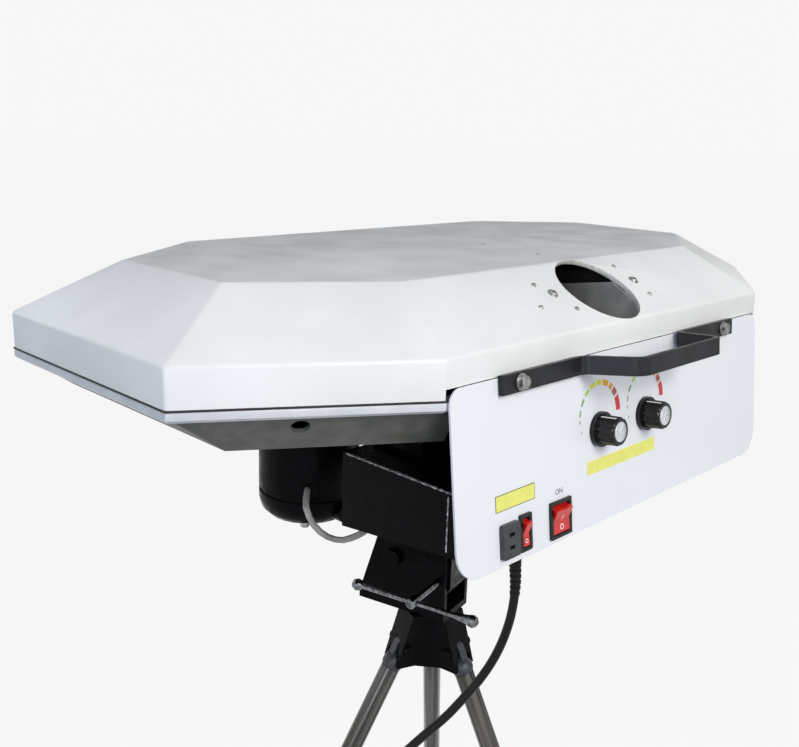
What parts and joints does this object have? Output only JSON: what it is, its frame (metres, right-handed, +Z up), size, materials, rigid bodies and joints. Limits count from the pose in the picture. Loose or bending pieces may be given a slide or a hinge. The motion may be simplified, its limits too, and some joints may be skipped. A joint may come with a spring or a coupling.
{
  "type": "cricket bowling machine",
  "caption": "Two-wheel ball-throwing machine with a faceted white cover, control panel and push handle, tilting in a yoke on a folding tripod.",
  "frame": {"origin": "on the ground, at the middle of the box round the three feet, seen from above", "axes": "+Z is up and +Y is the way the ball leaves; the operator stands at -Y with +X on the right hand; the tripod is turned 9 degrees and the yoke 14 degrees anticlockwise under the machine, as pictured"},
  "size_m": [0.9352, 0.8854, 1.4518],
  "materials": {
    "black_paint": "black powder coat on steel",
    "brass": "turned brass",
    "cast_aluminium": "cast aluminium, machined where it turns",
    "chrome": "chromed steel",
    "chute_grey": "pale grey plastic pipe",
    "cord_black": "black cord sheath",
    "gloss_black": "glossy black plastic",
    "grey_gelcoat": "grey gelcoat on glass fibre",
    "grey_plastic": "dark grey moulded plastic",
    "lead_grey": "grey cord sheath",
    "panel_white": "bluish white coat on sheet steel",
    "red_plastic": "glossy red plastic",
    "rubber": "moulded black rubber",
    "silver_insert": "silver foil disc",
    "wheel_rubber": "grey-black wheel rubber with a fine ground tread",
    "white_gelcoat": "gloss white gelcoat on glass fibre",
    "zinc": "zinc-plated steel"
  },
  "bodies": {
    "tripod": {"tripod_head": "black_paint", "tilt_yoke": "black_paint", "tilt_bolt": "black_paint", "head_bolt": "zinc", "leg_pin_left": "black_paint", "leg_pin_front": "black_paint", "leg_pin_right": "black_paint", "mains_cord": "cord_black", "cord_coil": "cord_black", "mains_plug": "cord_black"},
    "leg_left": {"leg_cap_left": "grey_plastic", "leg_tube_left": "chrome", "leg_foot_left": "rubber"},
    "leg_front": {"leg_cap_front": "grey_plastic", "leg_tube_front": "chrome", "leg_foot_front": "rubber"},
    "leg_right": {"leg_cap_right": "grey_plastic", "leg_tube_right": "chrome", "leg_foot_right": "rubber"},
    "tilt_block": {"tilt_post": "black_paint", "pan_spindle": "zinc", "thrust_washer": "brass"},
    "clamp": {"clamp_screw": "chrome"},
    "clamp_bar": {"tommy_bar": "chrome"},
    "wheel_left": {"wheel_tyre_left": "wheel_rubber", "wheel_hub_left": "cast_aluminium", "motor_shaft_left": "zinc"},
    "knob_left": {"speed_knob_left": "gloss_black", "knob_insert_left": "silver_insert"},
    "wheel_right": {"wheel_tyre_right": "wheel_rubber", "wheel_hub_right": "cast_aluminium", "motor_shaft_right": "zinc"},
    "knob_right": {"speed_knob_right": "gloss_black", "knob_insert_right": "silver_insert"},
    "main_rocker": {"main_switch_rocker": "red_plastic"},
    "feeder_rocker": {"feeder_switch_rocker": "red_plastic"},
    "machine": {"box_hanger": "black_paint", "chassis_deck": "black_paint", "chute_cradle": "black_paint", "control_box": "black_paint", "control_panel": "panel_white", "cord_gland": "cord_black", "feed_chute": "chute_grey", "feeder_socket": "grey_plastic", "feeder_switch_frame": "gloss_black", "handle_bolt_left": "zinc", "handle_bolt_right": "zinc", "lower_tray": "grey_gelcoat", "main_switch_frame": "gloss_black", "motor_lead_left": "lead_grey", "motor_lead_right": "lead_grey", "motor_left": "black_paint", "motor_right": "black_paint", "potentiometer_left": "zinc", "potentiometer_right": "zinc", "push_handle": "black_paint", "speed_drive_left": "cast_aluminium", "speed_drive_right": "cast_aluminium", "top_cover": "white_gelcoat"}
  },
  "joints": [
    {"name": "tilt", "type": "hinge", "parent": "tripod", "child": "tilt_block", "pos_m": [0.03323, 0.12789, 1.11005], "axis": [0.9703, 0.2419, 0], "range_deg": [-12, 12], "deforming": ["mains_cord"]},
    {"name": "pan", "type": "hinge", "parent": "tilt_block", "child": "machine", "pos_m": [0.04145, 0.0949, 1.41005], "axis": [0, 0, 1], "range_deg": [-90, 90], "deforming": ["mains_cord"]},
    {"name": "clamp_turn", "type": "hinge", "parent": "tripod", "child": "clamp", "pos_m": [0.04668, 0.07394, 1.09605], "axis": [-0.9703, -0.2419, 0], "range_deg": [0, 360]},
    {"name": "clamp_bar_slide", "type": "slide", "parent": "clamp", "child": "clamp_bar", "axis": [-0.2419, 0.9703, 0], "range_m": [-0.052, 0.037]},
    {"name": "wheel_left_spin", "type": "hinge", "parent": "machine", "child": "wheel_left", "pos_m": [-0.13855, 0.0909, 1.41005], "axis": [0, 0, 1], "continuous": true},
    {"name": "wheel_right_spin", "type": "hinge", "parent": "machine", "child": "wheel_right", "pos_m": [0.22145, 0.0909, 1.41005], "axis": [0, 0, 1], "continuous": true},
    {"name": "knob_left_turn", "type": "hinge", "parent": "machine", "child": "knob_left", "pos_m": [-0.01135, -0.1331, 1.32493], "axis": [0, 0.9932, -0.1167], "range_deg": [0, 300]},
    {"name": "knob_right_turn", "type": "hinge", "parent": "machine", "child": "knob_right", "pos_m": [0.05945, -0.1331, 1.32493], "axis": [0, 0.9932, -0.1167], "range_deg": [0, 300]},
    {"name": "main_rocker_tip", "type": "hinge", "parent": "machine", "child": "main_rocker", "pos_m": [-0.07005, -0.13628, 1.26359], "axis": [-1, 0, 0], "range_deg": [0, 22]},
    {"name": "feeder_rocker_tip", "type": "hinge", "parent": "machine", "child": "feeder_rocker", "pos_m": [-0.11555, -0.13614, 1.26478], "axis": [-1, 0, 0], "range_deg": [0, 22]},
    {"name": "leg_left_fold", "type": "hinge", "parent": "tripod", "child": "leg_left", "pos_m": [0.00952, 0.10715, 1.01055], "axis": [-0.3584, -0.9336, 0], "range_deg": [0, 26]},
    {"name": "leg_front_fold", "type": "hinge", "parent": "tripod", "child": "leg_front", "pos_m": [0.06803, 0.11642, 1.01055], "axis": [-0.6293, 0.7771, 0], "range_deg": [0, 26]},
    {"name": "leg_right_fold", "type": "hinge", "parent": "tripod", "child": "leg_right", "pos_m": [0.0468, 0.06112, 1.01055], "axis": [0.9877, 0.1564, 0], "range_deg": [0, 26]}
  ]
}
